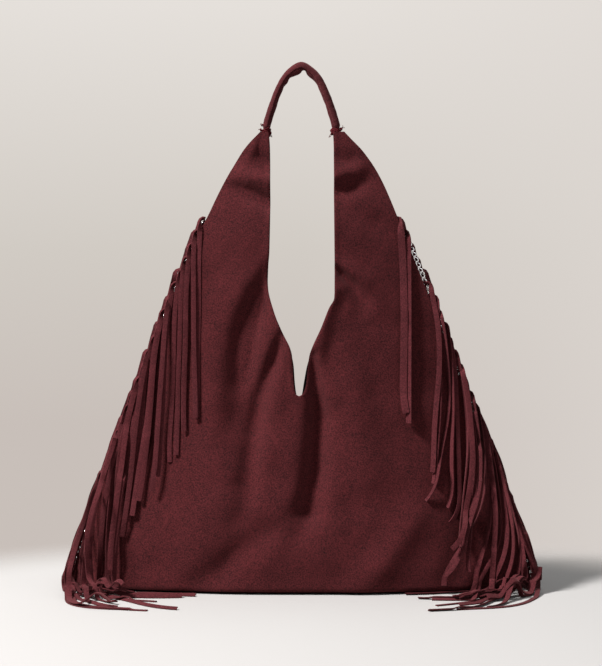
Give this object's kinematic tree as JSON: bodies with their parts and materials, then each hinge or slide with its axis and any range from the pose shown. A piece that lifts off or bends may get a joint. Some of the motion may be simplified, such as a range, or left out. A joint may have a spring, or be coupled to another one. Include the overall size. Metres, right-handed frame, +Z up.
{
  "type": "fringed suede bag",
  "caption": "Slouchy suede shoulder bag with a V-shaped mouth between two horns, a rolled arch handle, and fringe with a metal chain down both side seams.",
  "frame": {"origin": "centre of the flat base's underside, on the surface that the bag stands on", "axes": "+Z up to the handle, +X along the width to the right seen from the front, +Y from front to back"},
  "size_m": [0.4966, 0.29, 0.5518],
  "materials": {
    "suede": "suede, matt, short nap",
    "fringe_suede": "suede, matt, short nap",
    "lining": "plain woven cloth",
    "board": "pressed board",
    "thread": "waxed thread",
    "silver": "polished plating"
  },
  "bodies": {
    "root": {"front_panel": "suede", "back_panel": "suede", "base_panel": "suede", "base_board": "board", "lining_front": "lining", "lining_back": "lining", "handle": "suede", "tack_left": "thread", "tack_right": "thread", "chain_left": "silver", "chain_right": "silver", "fringe_left_front": "fringe_suede", "fringe_left_back": "fringe_suede", "fringe_right_front": "fringe_suede", "fringe_right_back": "fringe_suede"}
  },
  "joints": []
}
